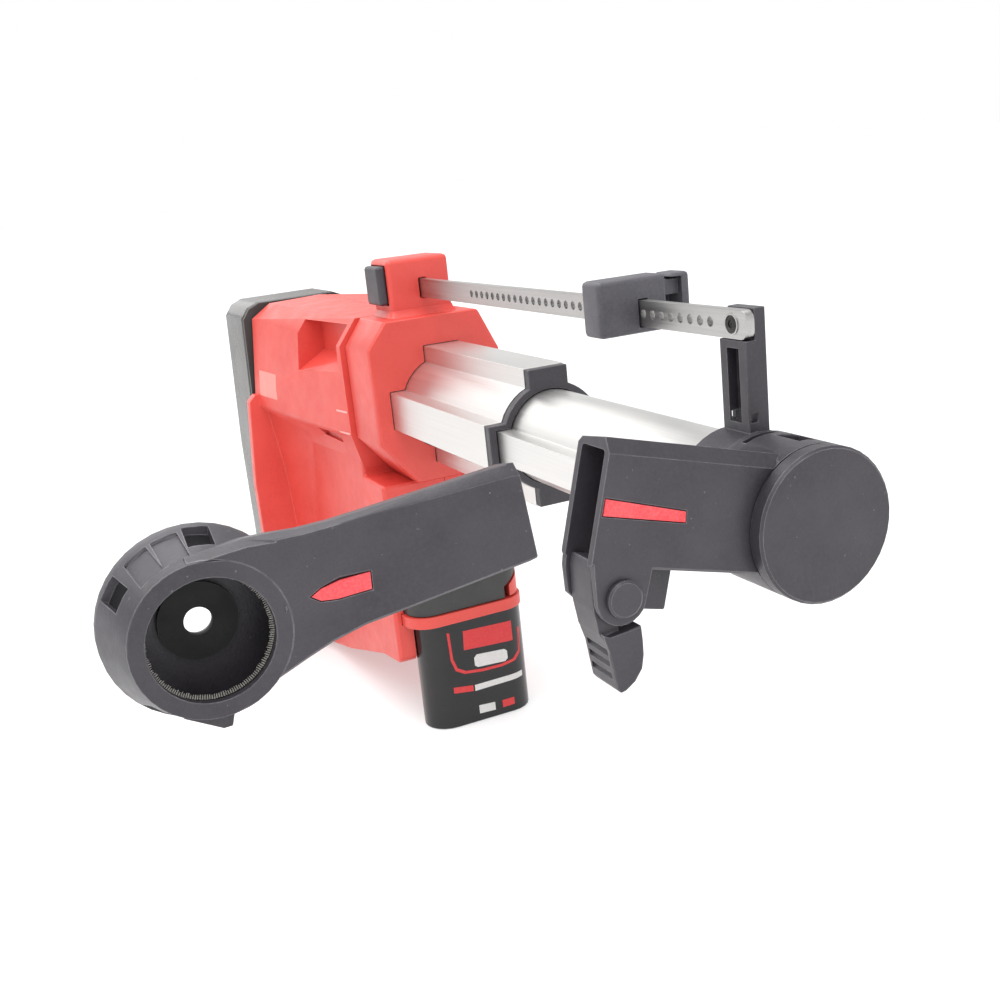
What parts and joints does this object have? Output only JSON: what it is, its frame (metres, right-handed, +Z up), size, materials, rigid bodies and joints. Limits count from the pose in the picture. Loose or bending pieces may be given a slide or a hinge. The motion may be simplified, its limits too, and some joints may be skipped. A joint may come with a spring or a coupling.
{
  "type": "rotary hammer dust extractor",
  "caption": "Cordless dust extractor for a rotary hammer: telescopic suction arm, depth rod, swivelling elbow with a socket, plug-in nozzle, stick battery and dust box.",
  "frame": {"origin": "on the battery's bottom face, straight under the arm's axis and midway along the battery, on the surface that the part stands on", "axes": "+Z up, +Y from the suction head towards the body along the arm, +X to the right seen from the front"},
  "size_m": [0.2189, 0.453, 0.2195],
  "materials": {
    "black_plastic": "fine matt moulded grain",
    "red_plastic": "satin moulded",
    "mark_red": "matt printed",
    "grey_plastic": "satin moulded",
    "battery_case": "semi-gloss moulded",
    "aluminium": "satin anodised, drawn along its length",
    "steel": "satin zinc plate",
    "smoke": "smoke translucent",
    "rubber": "soft matt",
    "filter_paper": "pleated paper",
    "circuit_board": "lacquered",
    "bristle": "short bristle"
  },
  "bodies": {
    "body": {"outer_tube": "aluminium", "tube_bushing": "black_plastic", "front_collar": "red_plastic", "rod_guide_block": "red_plastic", "housing_left": "red_plastic", "housing_right": "red_plastic", "housing_screw_1": "steel", "housing_screw_2": "steel", "housing_screw_3": "steel", "housing_screw_4": "steel", "duct_adapter": "grey_plastic", "fan_motor": "steel", "fan_scroll": "grey_plastic", "control_board": "circuit_board", "exhaust_grille": "grey_plastic", "battery_receptacle": "grey_plastic", "battery_skirt": "red_plastic", "battery_terminals": "grey_plastic", "dust_box_seal": "rubber"},
    "arm": {"inner_tube": "aluminium", "tube_seal": "rubber", "post_bracket": "black_plastic", "depth_rod": "steel", "rod_screw": "steel"},
    "elbow": {"elbow_housing": "black_plastic", "front_cap": "black_plastic", "socket_mark": "mark_red", "latch_pin": "black_plastic"},
    "latch": {"latch_lever": "black_plastic"},
    "nozzle": {"nozzle_duct": "black_plastic", "nozzle_ring": "black_plastic", "brush_ring": "bristle", "bit_seal": "rubber", "nozzle_mark": "mark_red"},
    "stop": {"depth_stop": "black_plastic"},
    "stop_press": {"stop_button": "black_plastic"},
    "rod_lock": {"rod_lock_button": "black_plastic"},
    "power": {"power_button": "black_plastic"},
    "fan": {"fan_impeller": "grey_plastic", "motor_shaft": "steel"},
    "battery": {"battery_pack": "battery_case"},
    "release": {"battery_release": "red_plastic"},
    "dust_bin": {"dust_box": "smoke", "filter_frame": "grey_plastic", "pleated_filter": "filter_paper"},
    "bin_button": {"dust_box_button": "black_plastic"}
  },
  "joints": [
    {"name": "arm_slide", "type": "slide", "parent": "body", "child": "arm", "axis": [0, 1, 0], "range_m": [0, 0.09], "stiffness_N_per_m": 60, "springref_m": -0.04},
    {"name": "elbow_swivel", "type": "hinge", "parent": "arm", "child": "elbow", "pos_m": [0, -0.276, 0.156], "axis": [0, 1, 0], "range_deg": [-60, 60]},
    {"name": "latch_press", "type": "hinge", "parent": "elbow", "child": "latch", "pos_m": [-0.05867, -0.2632, 0.14934], "axis": [0, -1, 0], "range_deg": [0, 10], "stiffness_Nm_per_rad": 0.12, "springref_deg": -20.05},
    {"name": "nozzle_dock", "type": "hinge", "parent": "elbow", "child": "nozzle", "pos_m": [-0.08077, -0.2632, 0.07919], "axis": [0, 1, 0], "range_deg": [0, 22.7]},
    {"name": "stop_slide", "type": "slide", "parent": "arm", "child": "stop", "axis": [0, 1, 0], "range_m": [-0.035, 0.07]},
    {"name": "stop_button_press", "type": "slide", "parent": "stop", "child": "stop_press", "axis": [-1, 0, 0], "range_m": [0, 0.0022], "stiffness_N_per_m": 500, "springref_m": -0.002},
    {"name": "rod_lock_press", "type": "slide", "parent": "body", "child": "rod_lock", "axis": [1, 0, 0], "range_m": [0, 0.0018], "stiffness_N_per_m": 500, "springref_m": -0.002},
    {"name": "power_press", "type": "slide", "parent": "body", "child": "power", "axis": [-1, 0, 0], "range_m": [0, 0.0014], "stiffness_N_per_m": 500, "springref_m": -0.002},
    {"name": "fan_spin", "type": "hinge", "parent": "body", "child": "fan", "pos_m": [-0.003, 0.079, 0.104], "axis": [0, 1, 0], "continuous": true},
    {"name": "battery_slide", "type": "slide", "parent": "body", "child": "battery", "axis": [0, 0, -1], "range_m": [0, 0.06]},
    {"name": "battery_release_press", "type": "slide", "parent": "body", "child": "release", "axis": [-1, 0, 0], "range_m": [0, 0.0018], "stiffness_N_per_m": 500, "springref_m": -0.002},
    {"name": "dust_box_slide", "type": "slide", "parent": "body", "child": "dust_bin", "axis": [0, 1, 0], "range_m": [0, 0.06]},
    {"name": "dust_box_button_press", "type": "slide", "parent": "dust_bin", "child": "bin_button", "axis": [-1, 0, 0], "range_m": [0, 0.002], "stiffness_N_per_m": 500, "springref_m": -0.002}
  ]
}
